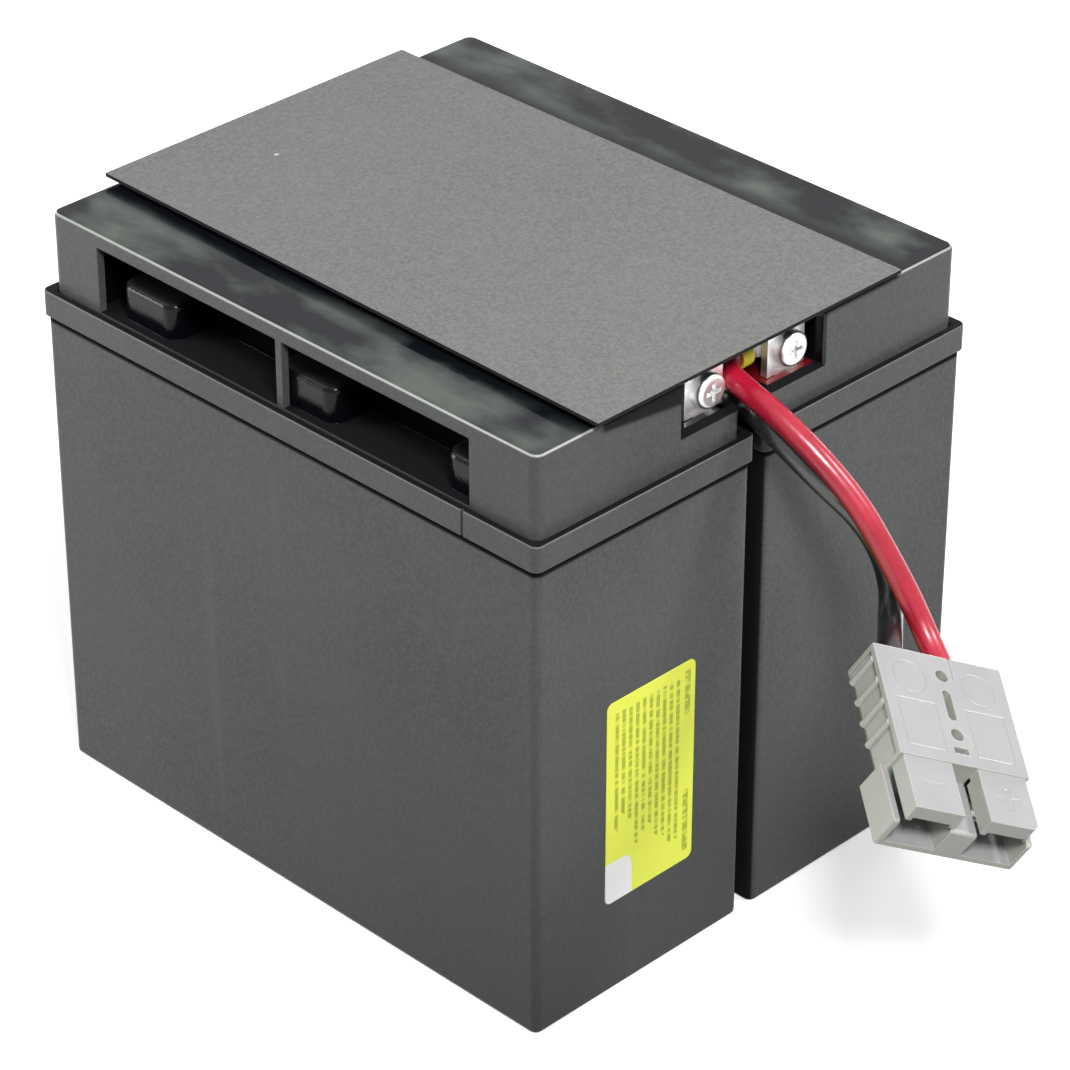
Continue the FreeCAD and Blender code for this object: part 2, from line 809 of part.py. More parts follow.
def lug(y, direction, reach):
    """Ring terminal: ring, tongue with a joggle, and crimped barrel."""
    bolt_axis = Vector(0, y, bolt_height)
    across = direction.cross(Vector(1, 0, 0))
    disc = rod(lug_ring_diameter / 2, *along(1, y, lug_face - lug_thickness, lug_face))
    tube_face = lug_axis_x + lug_barrel_diameter / 2 - 0.1
    profile = [
        (lug_face, 0.0),
        (lug_face, lug_barrel_start),
        (tube_face, lug_barrel_start + 1.4),
        (tube_face, reach),
        (tube_face - lug_thickness / 2, reach),
        (tube_face - lug_thickness / 2, lug_barrel_start + 1.0),
        (lug_face - lug_thickness, lug_barrel_start - 0.4),
        (lug_face - lug_thickness, 0.0),
    ]
    points = [
        bolt_axis + Vector(x, 0, 0) + direction * out - across * (lug_tail_width / 2)
        for x, out in profile
    ]
    tongue = prism(points, across * lug_tail_width)
    barrel = rod(
        lug_barrel_diameter / 2, lug_point(y, direction, lug_barrel_start),
        lug_point(y, direction, reach),
    )
    bore = rod(
        lug_barrel_bore / 2, lug_point(y, direction, lug_barrel_start - 2),
        lug_point(y, direction, reach + 1),
    )
    bolt_hole = rod(
        bolt_diameter / 2 + bolt_clearance,
        *along(1, y, lug_face - lug_thickness - 1, lug_face + 1),
    )
    return fused([disc, tongue, barrel]).cut([bore, bolt_hole])


def lug_sleeve(y, direction):
    """Yellow insulating sleeve over the red lug's barrel and the end of the cable."""
    start = lug_point(y, direction, sleeve_start)
    end = lug_point(y, direction, sleeve_end)
    return ring(sleeve_diameter / 2, cable_diameter / 2 + 0.05, start, end)


# ---- series link ----------------------------------------------------------------------
def link_bar():
    """Flat bar behind the two flags at the closed end, with rounded ends."""
    points = terminal_points()
    near_y = points["near_positive"][1]
    far_y = points["far_negative"][1]
    x0 = -lug_face
    body = block(
        x0, x0 + link_thickness, near_y, far_y,
        bolt_height - link_width / 2, bolt_height + link_width / 2,
    )
    ends = [
        rod(link_width / 2, Vector(x0, y, bolt_height), Vector(x0 + link_thickness, y, bolt_height))
        for y in (near_y, far_y)
    ]
    holes = [
        rod(
            bolt_diameter / 2 + bolt_clearance,
            Vector(x0 - 1, y, bolt_height), Vector(x0 + link_thickness + 1, y, bolt_height),
        )
        for y in (near_y, far_y)
    ]
    return fused([body] + ends).cut(holes)


def link_sleeve():
    """Shrunk sleeve round the middle of the link bar."""
    points = terminal_points()
    middle = (points["near_positive"][1] + points["far_negative"][1]) / 2
    x0 = -lug_face
    gap = link_end_clearance
    half = link_sleeve_length / 2
    outer = block(
        x0 - gap - link_sleeve_wall, x0 + link_thickness + gap + link_sleeve_wall,
        middle - half, middle + half,
        bolt_height - link_width / 2 - gap - link_sleeve_wall,
        bolt_height + link_width / 2 + gap + link_sleeve_wall,
    )
    inner = block(
        x0 - gap, x0 + link_thickness + gap, middle - half - 1, middle + half + 1,
        bolt_height - link_width / 2 - gap, bolt_height + link_width / 2 + gap,
    )
    return outer.cut(inner)


# ---- sheet, foam, label -----------------------------------------------------------------
def top_sheet():
    """Stiff plastic sheet, cut a little out of square."""
    corners = [
        Vector(sheet_start, -sheet_near_side, sheet_bottom),
        Vector(half_length, -sheet_near_side - sheet_skew, sheet_bottom),
        Vector(half_length, sheet_far_side, sheet_bottom),
        Vector(sheet_start, sheet_far_side, sheet_bottom),
    ]
    return prism(corners, Vector(0, 0, sheet_thickness))


def sheet_tapes():
    """Foam tape between each lid and the sheet."""
    return Part.makeCompound([
        centred_block(
            tape_length, tape_width, battery_height, sheet_bottom, 0, side * tape_from_seam,
        )
        for side in (-1, 1)
    ])


def joining_pads():
    """Adhesive foam pads between the two containers."""
    thickness = battery_gap + 2 * container_inset
    return Part.makeCompound([
        centred_block(
            pad_length, thickness, pad_bottom, pad_bottom + pad_height, x,
        )
        for x in (-pad_pitch / 2, pad_pitch / 2)
    ])


def end_label():
    """Sticker on the near battery's end."""
    y1 = -label_from_seam
    y0 = y1 - label_width
    z1 = label_bottom + label_height
    sticker = block(
        case_half_length, case_half_length + label_thickness, y0, y1, label_bottom, z1,
    )
    corners = [e for e in sticker.Edges if abs(e.tangentAt(e.FirstParameter).x) > 0.9]
    return sticker.makeFillet(label_corner_radius, corners)


# ---- connector ------------------------------------------------------------------------
def connector_placement():
    """Where the connector hangs: its own X is the mating direction, Z its top face."""
    turn = Rotation(connector_yaw, connector_pitch, 0)
    roll = Rotation(Vector(1, 0, 0), -connector_roll)
    return Placement(hang_point + connector_hang, turn.multiply(roll))


def on_connector(shape):
    """Moves a shape from the connector's own axes to its place."""
    placed = shape.copy()
    placed.Placement = connector_placement().multiply(shape.Placement)
    return placed


def pole_spaces(side):
    """Cable bore, contact channel and mating space of one pole."""
    y = side * pole_pitch / 2
    top = housing_thickness / 2
    bore = rod(cable_bore / 2, Vector(-1, y, 0), Vector(contact_bore_depth, y, 0))
    channel = centred_block(
        body_length - contact_bore_depth + 2, contact_channel_width,
        -contact_channel_height / 2, contact_channel_height / 2,
        (body_length + contact_bore_depth) / 2, y,
    )
    inner, outer = sorted((side * hood_inner_edge, side * hood_outer_edge))
    cell_far = side * (housing_width / 2 + tray_overhang - tray_side_wall)
    cell_near = side * hood_inner_edge
    cell = block(
        body_length, housing_length + 1, min(cell_near, cell_far), max(cell_near, cell_far),
        -top + tray_floor, -top + tray_height + 1,
    )
    hood_hollow = block(
        body_length, housing_length + 1, inner + hood_side_wall, outer - hood_side_wall,
        top - hood_height - 1, top - hood_step - hood_top_wall,
    )
    return [bore, channel, cell, hood_hollow]


def grip_ribs():
    """Upright ribs in both sides of the body, under its top plate."""
    top = housing_thickness / 2
    ribs = []
    for side in (-1, 1):
        y = side * (housing_width / 2 - grip_rib_setback)
        for index in range(grip_rib_count):
            x = grip_rib_first + index * grip_rib_pitch
            ribs.append(rod(
                grip_rib_radius, Vector(x, y, top - grip_height),
                Vector(x, y, top - top_plate_thickness),
            ))
    return ribs


def body_slice(start, end, half):
    """Stretch of the body: upright sides that slope in to the keel below."""
    top = housing_thickness / 2
    outline = [
        Vector(start, -half, top),
        Vector(start, -half, top - grip_height),
        Vector(start, -keel_half_width, -top),
        Vector(start, keel_half_width, -top),
        Vector(start, half, top - grip_height),
        Vector(start, half, top),
    ]
    return prism(outline, Vector(end - start, 0, 0))


def key_cuts():
    """Fixing holes, slot, notch and groove by the housing's middle line."""
    top = housing_thickness / 2
    cuts = [
        rod(key_hole_diameter / 2, Vector(x, 0, -top - 1), Vector(x, 0, top + 1))
        for x in key_hole_positions
    ]
    straight = (key_slot_length - key_slot_width) / 2
    for x in (key_slot_centre - straight, key_slot_centre + straight):
        cuts.append(rod(key_slot_width / 2, Vector(x, 0, -top - 1), Vector(x, 0, top + 1)))
    cuts.append(centred_block(2 * straight, key_slot_width, -top - 1, top + 1, key_slot_centre))
    cuts.append(centred_block(
        key_notch_size[0], key_notch_size[1], top - key_notch_depth, top + 1, key_notch_centre,
    ))
    cuts.append(centred_block(
        2 * key_groove_length, key_groove_width, top - key_groove_depth, top + 1,
        0, key_groove_offset,
    ))
    return cuts


def housing_body():
    """Body with sunk, ribbed sides between its top plate and end lips."""
    half = housing_width / 2
    top = housing_thickness / 2
    core = body_slice(0, body_length, half - grip_depth)
    plate = block(0, body_length, -half, half, top - top_plate_thickness, top)
    rear_lip = body_slice(0, end_lip, half)
    front_lip = body_slice(body_length - end_lip, body_length, half)
    return [core, plate, rear_lip, front_lip] + grip_ribs()


def hood(side):
    """Roof over one pole's contact; the positive one has a rounded outer corner."""
    top = housing_thickness / 2
    inner, outer = sorted((side * hood_inner_edge, side * hood_outer_edge))
    roof = block(
        body_length - end_lip, housing_length, inner, outer, top - hood_height, top - hood_step,
    )
    if side < 0:
        return roof
    corner = [
        e for e in roof.Edges
        if abs(e.tangentAt(e.FirstParameter).z) > 0.9
        and e.BoundBox.XMin > body_length and e.BoundBox.YMin > hood_outer_edge - 1e-3
    ]
    return roof.makeFillet(hood_corner_radius, corner)


def tray():
    """Lower shell in front of the body, before its two cells are cut."""
    half = housing_width / 2 + tray_overhang
    rim = -housing_thickness / 2 + tray_height
    shell = block(body_length - end_lip, housing_length, -half, half, rim - tray_height, rim)
    return shell.makeFillet(tray_corner_radius, [
        e for e in shell.Edges
        if e.BoundBox.XMin > body_length and e.BoundBox.ZMax > rim - 1e-3
    ])


def connector_housing():
    """Genderless housing: body, two hoods above and a divided tray below."""
    shell = fused(housing_body() + [tray(), hood(-1), hood(1)])
    return shell.cut(pole_spaces(-1) + pole_spaces(1) + key_cuts())


def contact(side):
    """Silver plated contact: crimp barrel and a tongue with a raised end."""
    y = side * pole_pitch / 2
    barrel_end = contact_start + contact_barrel_length
    barrel = ring(
        contact_barrel_diameter / 2, contact_barrel_bore / 2,
        Vector(contact_start, y, 0), Vector(barrel_end, y, 0),
    )
    plug = rod(
        contact_barrel_diameter / 2, Vector(barrel_end - 2, y, 0), Vector(barrel_end, y, 0),
    )
    half = contact_tongue_thickness / 2
    hook_start = contact_tongue_end - contact_hook_length
    outline = [
        Vector(barrel_end - 1, y, -half),
        Vector(contact_tongue_end, y, -half),
        Vector(contact_tongue_end, y, half),
        Vector(contact_tongue_end - 1, y, half + contact_hook_rise),
        Vector(hook_start, y, half),
        Vector(barrel_end - 1, y, half),
    ]
    tongue = prism(outline, Vector(0, contact_tongue_width, 0))
    tongue.translate(Vector(0, -contact_tongue_width / 2, 0))
    return fused([barrel, plug, tongue])


def contact_spring(side):
    """Steel leaf spring that presses the contact's tongue up."""
    y = side * pole_pitch / 2
    floor = -contact_channel_height / 2
    heel = Vector(spring_start, y, floor)
    bend = Vector(spring_start + spring_foot, y, floor)
    crest = Vector((spring_start + spring_foot + spring_end) / 2, y, floor + spring_rise)
    tip = Vector(spring_end, y, floor + spring_tip_rise)
    up = Vector(0, 0, spring_thickness)
    edges = [
        Part.makeLine(heel, bend),
        Part.Arc(bend, crest, tip).toShape(),
        Part.makeLine(tip, tip + up),
        Part.Arc(tip + up, crest + up, bend + up).toShape(),
        Part.makeLine(bend + up, heel + up),
        Part.makeLine(heel + up, heel),
    ]
    leaf = Part.Face(Part.Wire(edges)).extrude(Vector(0, spring_width, 0))
    leaf.translate(Vector(0, -spring_width / 2, 0))
    return leaf


# ---- cables -----------------------------------------------------------------------------
def entry_point(side, depth):
    """Point on a pole's axis, a depth inside the connector's cable face."""
    return connector_placement().multVec(Vector(depth, side * pole_pitch / 2, 0))


def red_route():
    """Route of the red cable, from the lug's barrel to the contact's barrel."""
    y = terminal_points()["far_positive"][1]
    out = lug_direction(-1, red_lug_tilt)
    start = lug_point(y, out, red_lug_reach)
    first = start + out * red_first_run
    second = first + (Vector(1, 0, 0) + out) * (red_first_run / math.sqrt(2))
    chosen = [
        Vector(-1.8, -2.4, -11.5), Vector(8.4, -2.0, -15.1), Vector(20.2, -0.3, -22.2),
        Vector(30.5, 2.5, -32.3), Vector(38.5, 4.4, -43.9), Vector(44.6, 5.7, -53.0),
        Vector(50.4, 5.8, -61.6),
    ]
    ends = [entry_point(1, -entry_run), entry_point(1, contact_start)]
    return [start, first, second] + [hang_point + point for point in chosen] + ends


def black_route():
    """Route of the black cable: it turns under the red one and follows it."""
    y = terminal_points()["near_negative"][1]
    out = lug_direction(1, black_lug_tilt)
    ahead = Vector(1, -0.06, 0).normalize()
    turn = out.getAngle(ahead)
    side = (ahead - out * out.dot(ahead)).normalize()
    points = [lug_point(y, out, black_lug_reach)]
    for step in range(3):
        angle = turn * step / 3
        heading = out * math.cos(angle) + side * math.sin(angle)
        points.append(points[-1] + heading * black_first_run)
    points.append(points[-1] + ahead * black_second_run)
    chosen = [
        Vector(0.3, -0.4, -19.0), Vector(8.5, -0.6, -22.7), Vector(17.7, 2.7, -30.7),
        Vector(23.6, 9.1, -39.6), Vector(29.6, 11.7, -47.9), Vector(36.0, 9.2, -55.3),
        Vector(41.7, 2.3, -59.9), Vector(48.3, -5.3, -59.7),
    ]
    ends = [entry_point(-1, -entry_run), entry_point(-1, contact_start)]
    return points + [hang_point + point for point in chosen] + ends


def cable(name, route):
    """Round cable along straight runs joined by tangent arcs, with its figures printed."""
    runs = [b - a for a, b in zip(route, route[1:])]
    edges = []
    radii = []
    last = route[0]
    length = 0.0
    for index in range(1, len(route) - 1):
        before = runs[index - 1]
        after = runs[index]
        turn = before.getAngle(after)
        reach = 0.45 * min(before.Length, after.Length)
        radius = reach / math.tan(turn / 2)
        radii.append(radius)
        corner = route[index]
        into = Vector(before).normalize()
        out = Vector(after).normalize()
        arc_start = corner - into * reach
        arc_end = corner + out * reach
        inward = (out - into).normalize()
        arc_middle = corner + inward * (radius / math.cos(turn / 2) - radius)
        edges.append(Part.LineSegment(last, arc_start).toShape())
        edges.append(Part.Arc(arc_start, arc_middle, arc_end).toShape())
        length += (arc_start - last).Length + radius * turn
        last = arc_end
    edges.append(Part.LineSegment(last, route[-1]).toShape())
    length += (route[-1] - last).Length
    path = Part.Wire(edges)
    section = Part.Wire(Part.makeCircle(cable_diameter / 2, route[0], runs[0]))
    tube = path.makePipeShell([section], True, False)
    expected = length * math.pi * cable_diameter ** 2 / 4
    print(
        f"{name}: {length:.1f} mm, radii", [round(radius, 1) for radius in radii],
        f"volume over section times length {tube.Volume / expected:.4f}",
    )
    return tube


# ---- all pieces ---------------------------------------------------------------------------
def battery_pieces(name, turned):
    """Pieces of one battery, at its side of the seam."""
    positive = terminal(-1, positive_bolt_y)
    negative = terminal(1, negative_bolt_y)
    pieces = {
        "container": container(),
        "lid": lid(),
        "vent_cover": vent_cover(),
        "valves": valves(),
        "positive_plates": plates("positive"),
        "negative_plates": plates("negative"),
        "separators": separators(),
        "cell_straps": cell_straps(),
        "positive_terminal": positive,
        "negative_terminal": negative,
        "positive_resin": resin(-1, positive_bolt_y, positive),
        "negative_resin": resin(1, negative_bolt_y, negative),
    }
    return {
        f"{name}_{piece}": in_place(shape, turned) for piece, shape in pieces.items()
    }


def all_pieces():
    """Every named piece of the cartridge."""
    points = terminal_points()
    pieces = {}
    pieces.update(battery_pieces("near", False))
    pieces.update(battery_pieces("far", True))
    for name, make in (("screws", screw), ("washers", washer), ("nuts", nut)):
        pieces[f"terminal_{name}"] = Part.makeCompound([
            make(end, y) for end, y in points.values()
        ])
    red_y = points["far_positive"][1]
    black_y = points["near_negative"][1]
    red_out = lug_direction(-1, red_lug_tilt)
    black_out = lug_direction(1, black_lug_tilt)
    pieces["red_lug"] = lug(red_y, red_out, red_lug_reach)
    pieces["red_lug_sleeve"] = lug_sleeve(red_y, red_out)
    pieces["black_lug"] = lug(black_y, black_out, black_lug_reach)
    pieces["series_link"] = link_bar()
    pieces["series_link_sleeve"] = link_sleeve()
    pieces["top_sheet"] = top_sheet()
    pieces["sheet_tapes"] = sheet_tapes()
    pieces["joining_pads"] = joining_pads()
    pieces["end_label"] = end_label()
    pieces["connector_housing"] = on_connector(connector_housing())
    for side, name in ((1, "red"), (-1, "black")):
        pieces[f"{name}_contact"] = on_connector(contact(side))
        pieces[f"{name}_contact_spring"] = on_connector(contact_spring(side))
    pieces["red_cable"] = cable("red cable", red_route())
    pieces["black_cable"] = cable("black cable", black_route())
    return pieces


os.makedirs("parts", exist_ok=True)
for piece_name, piece_shape in all_pieces().items():
    piece_shape.exportStep(f"parts/{piece_name}.step")
    print(piece_name, len(piece_shape.Solids), "solids", round(piece_shape.Volume, 1), "mm3")
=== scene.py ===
import math

import bpy
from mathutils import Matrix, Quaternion, Vector

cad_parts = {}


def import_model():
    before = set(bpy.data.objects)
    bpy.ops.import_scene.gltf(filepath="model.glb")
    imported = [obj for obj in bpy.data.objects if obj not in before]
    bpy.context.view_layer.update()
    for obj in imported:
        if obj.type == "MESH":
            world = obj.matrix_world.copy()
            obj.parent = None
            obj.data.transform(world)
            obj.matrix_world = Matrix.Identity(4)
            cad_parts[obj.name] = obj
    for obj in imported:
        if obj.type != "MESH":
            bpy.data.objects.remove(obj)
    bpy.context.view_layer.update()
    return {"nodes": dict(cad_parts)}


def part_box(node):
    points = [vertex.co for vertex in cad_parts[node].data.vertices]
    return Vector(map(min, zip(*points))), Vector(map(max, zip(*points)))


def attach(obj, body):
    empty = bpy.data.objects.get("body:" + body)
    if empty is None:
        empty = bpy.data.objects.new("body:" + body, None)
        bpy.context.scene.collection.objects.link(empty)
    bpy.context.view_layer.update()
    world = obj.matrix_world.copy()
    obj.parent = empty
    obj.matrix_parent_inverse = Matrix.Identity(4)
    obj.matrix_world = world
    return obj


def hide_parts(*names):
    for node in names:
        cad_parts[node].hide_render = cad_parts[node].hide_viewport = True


# Looks of the battery cartridge: finishes for every piece, the two free cables, the camera
# and the light. Everything is in metres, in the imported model's frame.

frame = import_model()

MM = 0.001

# ---- camera and light -----------------------------------------------------------------
CAMERA_PLACE = Vector((0.69339, -0.68116, 0.67366))
CAMERA_VIEW = Vector((-0.60200, 0.60227, -0.52428))
CAMERA_ROLL = math.radians(0.035)
CAMERA_LENS = 144.96        # millimetres, on a 36 mm wide sensor
WORLD_LIGHT = 0.30
FLOOR_SIZE = 6.0
FLOOR_CENTRE, FLOOR_EDGE = 0.2, 0.9     # distances between which the floor's glow rises
LAMP_TARGET = (0.0, 0.0, 0.09)
LAMPS = [                   # name, place, side of the square, watts
    ("key_lamp", (0.75, -0.50, 0.98), 0.25, 14.0),
    ("near_lamp", (-0.50, -0.52, 0.75), 0.2, 1.9),
    ("end_lamp", (0.72, 0.52, 0.85), 0.2, 5.6),
    ("side_lamp", (-0.48, -0.42, 0.20), 0.2, 1.4),
    ("closed_end_lamp", (-1.15, 0.05, 0.32), 0.3, 5.0),
    ("far_lamp", (-0.30, 1.10, 0.30), 0.3, 5.0),
]

# ---- plastics -------------------------------------------------------------------------
PLASTIC_GRAIN = 0.9 * MM
FOOT_HEIGHT = 110 * MM      # below this the cases are painted darker towards the floor, as painted shade
FLANGE_GAP, FLANGE_GAP_FADE = 1.7 * MM, 2.3 * MM        # painted shade line below the lid's flange
SEAM_HALF, SEAM_HALF_FADE = 3.0 * MM, 3.6 * MM          # painted shade in the seam between the batteries

# ---- lid ------------------------------------------------------------------------------
LID_SIDE_INSET = 2.6 * MM   # lid's sides inside its flange
LID_WALL = 2.2 * MM         # what is further in lies inside the recesses, which are painted in shade
LEDGE_DEPTH = 5 * MM        # what looks up from deeper than this lies in a recess and is painted in shade
SHEET_HALF = 53 * MM        # how far from the seam the sheet's painted shadow reaches along the lid's end
NEAR_SHADOW_INNER = 7 * MM     # depth of the painted shadow band at the pockets
NEAR_SHADOW_OUTER = 2.5 * MM   # and at the sheet's corner
FAR_SHADOW = 1.2 * MM

# ---- connector ------------------------------------------------------------------------
CONNECTOR_PLACE = Vector((148.2, -5.3, 102.3)) * MM     # middle of its cable face
CONNECTOR_TURN = tuple(math.radians(angle) for angle in (-25.3, 19.0, -35.7))

# ---- cables ---------------------------------------------------------------------------
CABLE_DIAMETER = 6.2 * MM
RED_ROUTE = [
    (76.6, 7.4, 158.1), (76.6, 1.7, 158.0), (80.6, -2.3, 157.9), (88.7, -2.4, 155.5),
    (98.9, -2.0, 151.9), (110.7, -0.3, 144.8), (121.0, 2.5, 134.7), (129.0, 4.4, 123.1),
    (135.1, 5.7, 114.0), (140.9, 5.8, 105.4), (149.2, 2.8, 100.1), (153.8, -0.5, 98.1),
]
BLACK_ROUTE = [
    (76.6, -5.4, 153.5), (76.6, -2.8, 151.7), (78.2, -0.7, 150.1), (80.9, 0.5, 149.2),
    (86.1, 0.1, 149.1), (90.8, -0.4, 148.0), (99.0, -0.6, 144.3), (108.2, 2.7, 136.3),
    (114.1, 9.1, 127.4), (120.1, 11.7, 119.1), (126.5, 9.2, 111.7), (132.2, 2.3, 107.1),
    (138.8, -5.3, 107.3), (142.6, -10.1, 106.5), (147.2, -13.4, 104.5),
]


# ---- material helpers -----------------------------------------------------------------
class Finish:
    """A procedural material on one Principled shader, with patterns in object space."""

    def __init__(self, name, colour, roughness, **sockets):
        self.material = bpy.data.materials.new(name)
        self.material.use_nodes = True
        self.tree = self.material.node_tree
        self.surface = self.tree.nodes["Principled BSDF"]
        self.colour = colour
        self.set("Base Color", (*colour, 1.0))
        self.set("Roughness", roughness)
        for socket, value in sockets.items():
            self.set(socket.replace("_", " "), value)
        self.place = self.add("ShaderNodeTexCoord", {}).outputs["Object"]

    def set(self, socket, value):
        """Sets or links one input of the shader."""
        self.join(self.surface.inputs[socket], value)

    def join(self, socket, value):
        """Links an output to a socket, or sets the socket's value."""
        if isinstance(value, bpy.types.NodeSocket):
            self.tree.links.new(value, socket)
        else:
            socket.default_value = value

    def add(self, kind, inputs, **settings):
        """Adds a node with its settings and inputs."""
        made = self.tree.nodes.new(kind)
        for name, value in settings.items():
            setattr(made, name, value)
        for key, value in inputs.items():
            self.join(made.inputs[key], value)
        return made

    def noise(self, size, detail=2.0, stretch=(1.0, 1.0, 1.0), offset=0.0):
        """Noise whose features are about size metres across."""
        place = self.add(
            "ShaderNodeMapping",
            {"Vector": self.place, "Scale": stretch, "Location": (offset, offset, offset)},
        ).outputs["Vector"]
        return self.add(
            "ShaderNodeTexNoise", {"Vector": place, "Scale": 1.0 / size, "Detail": detail},
        ).outputs["Fac"]

    def level(self, value, low, high, out_low=0.0, out_high=1.0):
        """Maps a range of a value to another, clamped."""
        return self.add("ShaderNodeMapRange", {
            "Value": value, "From Min": low, "From Max": high,
            "To Min": out_low, "To Max": out_high,
        }).outputs["Result"]

    def maths(self, operation, first, second=0.0):
        """One maths node."""
        return self.add("ShaderNodeMath", {0: first, 1: second}, operation=operation).outputs[0]

    def blend(self, factor, first, second):
        """Mixes two colours by a factor."""
        made = self.add("ShaderNodeMix", {0: factor}, data_type="RGBA")
        self.join(made.inputs[6], first if not isinstance(first, tuple) else (*first[:3], 1.0))
        self.join(made.inputs[7], second if not isinstance(second, tuple) else (*second[:3], 1.0))
        return made.outputs[2]

    def bump(self, *layers, round_edges=0.0):
        """Bump from layers of (height, depth in metres), over softly rounded edges."""
        normal = None
        if round_edges:
            normal = self.add("ShaderNodeBevel", {"Radius": round_edges}, samples=4).outputs[0]
        for height, depth in layers:
            inputs = {"Height": height, "Distance": depth, "Strength": 1.0}
            if normal is not None:
                inputs["Normal"] = normal
            normal = self.add("ShaderNodeBump", inputs).outputs["Normal"]
        self.set("Normal", normal)

    def edges(self, radius):
        """1 along outside edges, 0 elsewhere."""
        rounded = self.add("ShaderNodeBevel", {"Radius": radius}, samples=6).outputs[0]
        flat = self.add("ShaderNodeNewGeometry", {}).outputs["True Normal"]
        along = self.add(
            "ShaderNodeVectorMath", {0: rounded, 1: flat}, operation="DOT_PRODUCT",
        ).outputs["Value"]
        return self.level(along, 0.985, 0.90)

    def axes(self):
        """The place in object space, as three values."""
        return self.add("ShaderNodeSeparateXYZ", {"Vector": self.place}).outputs

    def upward(self):
        """How far a face looks up: 1 when level, 0 when upright."""
        normal = self.add("ShaderNodeNewGeometry", {}).outputs["True Normal"]
        return self.add("ShaderNodeSeparateXYZ", {"Vector": normal}).outputs["Z"]

    def facing_up(self):
        """1 on faces that look up, 0 on upright ones."""
        return self.level(self.upward(), 0.6, 0.95)

    def upper_edges(self):
        """1 on the roundings between upright and level faces."""
        upward = self.upward()
        return self.maths(
            "MULTIPLY", self.level(upward, 0.40, 0.60), self.level(upward, 0.95, 0.82),
        )


def shade(colour, factor):
    """A colour made lighter or darker."""
    return tuple(channel * factor for channel in colour)


# ---- finishes -------------------------------------------------------------------------
def case_gap_shade(f, axis):
    """1 where shade is painted: in the narrow line below the flange, and in the seam between the
    batteries.
    """
    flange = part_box("near_lid")[0][2]
    line = f.level(axis["Z"], flange - FLANGE_GAP_FADE, flange - FLANGE_GAP)
    seam = f.level(f.maths("ABSOLUTE", axis["Y"]), SEAM_HALF_FADE, SEAM_HALF)
    return f.maths("MAXIMUM", line, seam)


def case_foot_shade(f, axis):
    """How much painted shade darkens the cases towards the floor, most at the cable end."""
    foot_shade = f.maths(
        "MULTIPLY", f.level(axis["Z"], FOOT_HEIGHT, 0.0, 0.0, 0.60),
        f.level(axis["X"], -60 * MM, 80 * MM),
    )
    return f.maths("MULTIPLY", foot_shade, f.level(axis["Y"], 0.0, 20 * MM, 1.0, 0.45))


def case_plastic():
    """Satin black polypropylene with a fine moulded grain, with painted shade below the flange, in
    the seam and towards the floor.
    """
    f = Finish("case_plastic", (0.073, 0.076, 0.075), 0.44, IOR=1.46)
    axis = f.axes()
    broad = f.noise(0.055, 3.0)
    grain = f.noise(PLASTIC_GRAIN, 3.0)
    tone = f.blend(f.level(broad, 0.35, 0.68), shade(f.colour, 0.80), shade(f.colour, 1.15))
    tone = f.blend(f.level(grain, 0.35, 0.65, 0.0, 0.55), tone, shade(f.colour, 1.55))
    scuffs = f.level(f.noise(0.012, 4.0, (1.0, 1.0, 0.12), 3.0), 0.66, 0.72, 0.0, 0.25)
    tone = f.blend(scuffs, tone, shade(f.colour, 1.7))
    # Painted shade: the case grows darker towards the floor.
    tone = f.blend(case_foot_shade(f, axis), tone, shade(f.colour, 0.35))
    gap_shade = case_gap_shade(f, axis)
    # Painted shade: below the flange and in the seam the case is coloured near black.
    f.set("Base Color", f.blend(gap_shade, tone, (0.003, 0.003, 0.004)))
    f.set("Specular IOR Level", 0.15)
    f.set("Roughness", f.level(gap_shade, 0.0, 1.0, f.level(broad, 0.3, 0.7, 0.36, 0.50), 0.9))
    f.bump((grain, 0.00006), (f.noise(0.09, 1.0), 0.0006), round_edges=0.0005)
    return f.material


def lid_inside_shade(f, axis, beside):
    """1 inside the lid, behind its walls and below its top, where shade is painted."""
    low, high = (Vector(corner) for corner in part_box("near_lid"))
    end = high.x - LID_SIDE_INSET - LID_WALL / 2
    side = -low.y - LID_SIDE_INSET - LID_WALL
    within_end = f.maths("LESS_THAN", f.maths("ABSOLUTE", axis["X"]), end)
    within_side = f.maths("LESS_THAN", beside, side)
    below_top = f.maths("LESS_THAN", axis["Z"], high.z - 0.2 * MM)
    return f.maths("MULTIPLY", f.maths("MULTIPLY", within_end, within_side), below_top)


def lid_sheet_shadow(f, axis, beside, top):
    """How much painted shadow of the sheet lies on the lid's cable end, just below its top."""
    high = Vector(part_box("near_lid")[1])
    near = f.level(
        beside, 15 * MM, SHEET_HALF, high.z - NEAR_SHADOW_INNER, high.z - NEAR_SHADOW_OUTER,
    )
    far_side = f.maths("GREATER_THAN", axis["Y"], 0.0)
    depth = f.level(far_side, 0.0, 1.0, near, high.z - FAR_SHADOW)
    above = f.level(f.maths("SUBTRACT", axis["Z"], depth), -0.6 * MM, 0.6 * MM)
    cable_end = high.x - LID_SIDE_INSET - LID_WALL / 2
    above = f.maths("MULTIPLY", above, f.maths("GREATER_THAN", axis["X"], cable_end))
    across = f.level(beside, SHEET_HALF - 1 * MM, SHEET_HALF + 1 * MM, 1.0, 0.0)
    above = f.maths("MULTIPLY", above, across)
    return f.maths("MULTIPLY", above, f.level(top, 0.0, 0.1, 0.95, 0.0))


